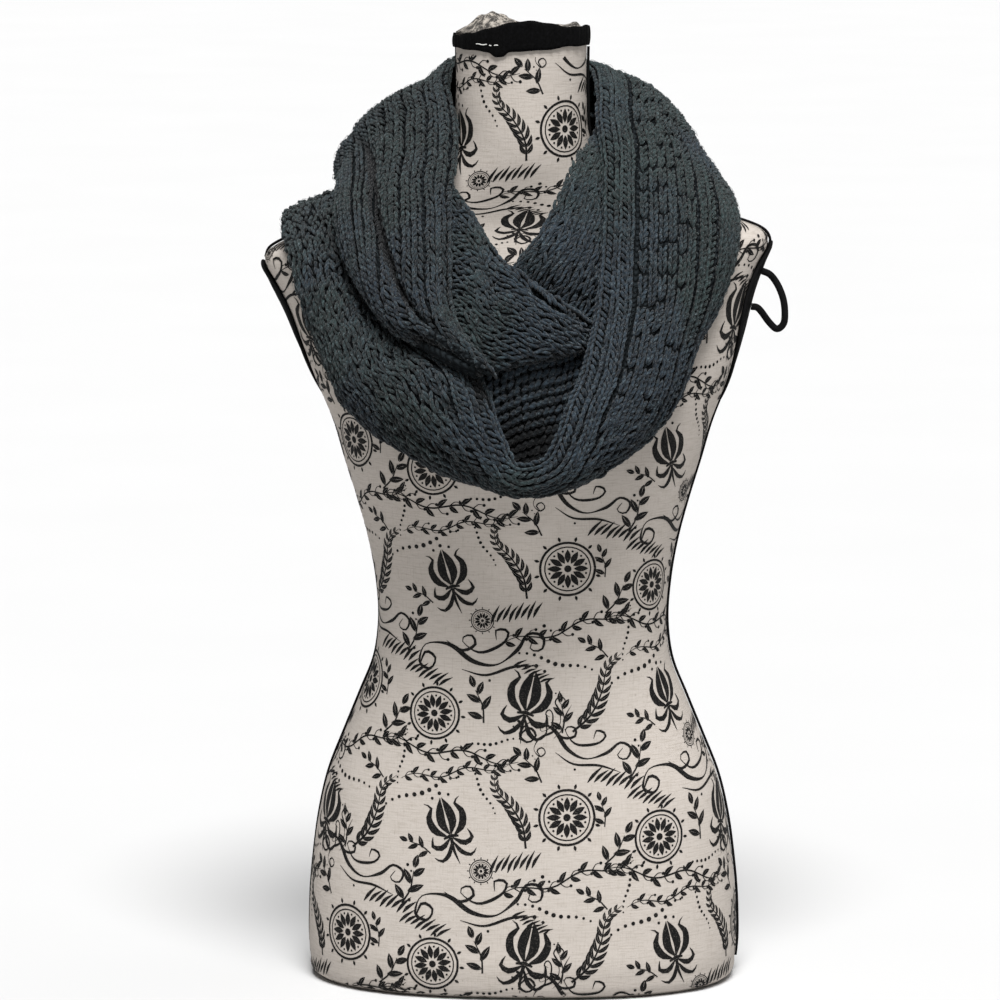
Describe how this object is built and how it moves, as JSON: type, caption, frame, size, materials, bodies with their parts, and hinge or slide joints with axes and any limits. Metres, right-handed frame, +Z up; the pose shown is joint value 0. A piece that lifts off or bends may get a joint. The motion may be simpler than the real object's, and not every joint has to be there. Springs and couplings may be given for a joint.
{
  "type": "infinity scarf on a dress form",
  "caption": "Chunky knitted infinity scarf wound round the neck of a limbless dress form, with ribbed rolls, a deep fold, a low V in front and a flat base that it stands on.",
  "frame": {"origin": "on the flat underside of the dress form, below the middle of its neck", "axes": "+Z up along the neck; the front of the scarf faces -Y and +X is to the viewer's right"},
  "size_m": [0.4085, 0.3429, 0.7544],
  "materials": {
    "charcoal_knit": "chunky wool knit, matte",
    "printed_linen": "natural linen with black ornament",
    "black_trim": "matte black cloth and cord"
  },
  "bodies": {
    "root": {"form_body": "printed_linen", "form_neck_cap": "printed_linen", "form_neck_band": "black_trim", "form_armhole_left": "black_trim", "form_armhole_right": "black_trim", "form_piping_side_left": "black_trim", "form_piping_side_right": "black_trim", "form_piping_shoulder_left": "black_trim", "form_piping_shoulder_right": "black_trim", "form_loop": "black_trim", "scarf_outer_left": "charcoal_knit", "scarf_outer_right": "charcoal_knit", "scarf_back_upper": "charcoal_knit", "scarf_inner_left": "charcoal_knit", "scarf_inner_front": "charcoal_knit", "scarf_inner_border": "charcoal_knit", "scarf_inner_right": "charcoal_knit", "scarf_back_lower": "charcoal_knit"}
  },
  "joints": []
}
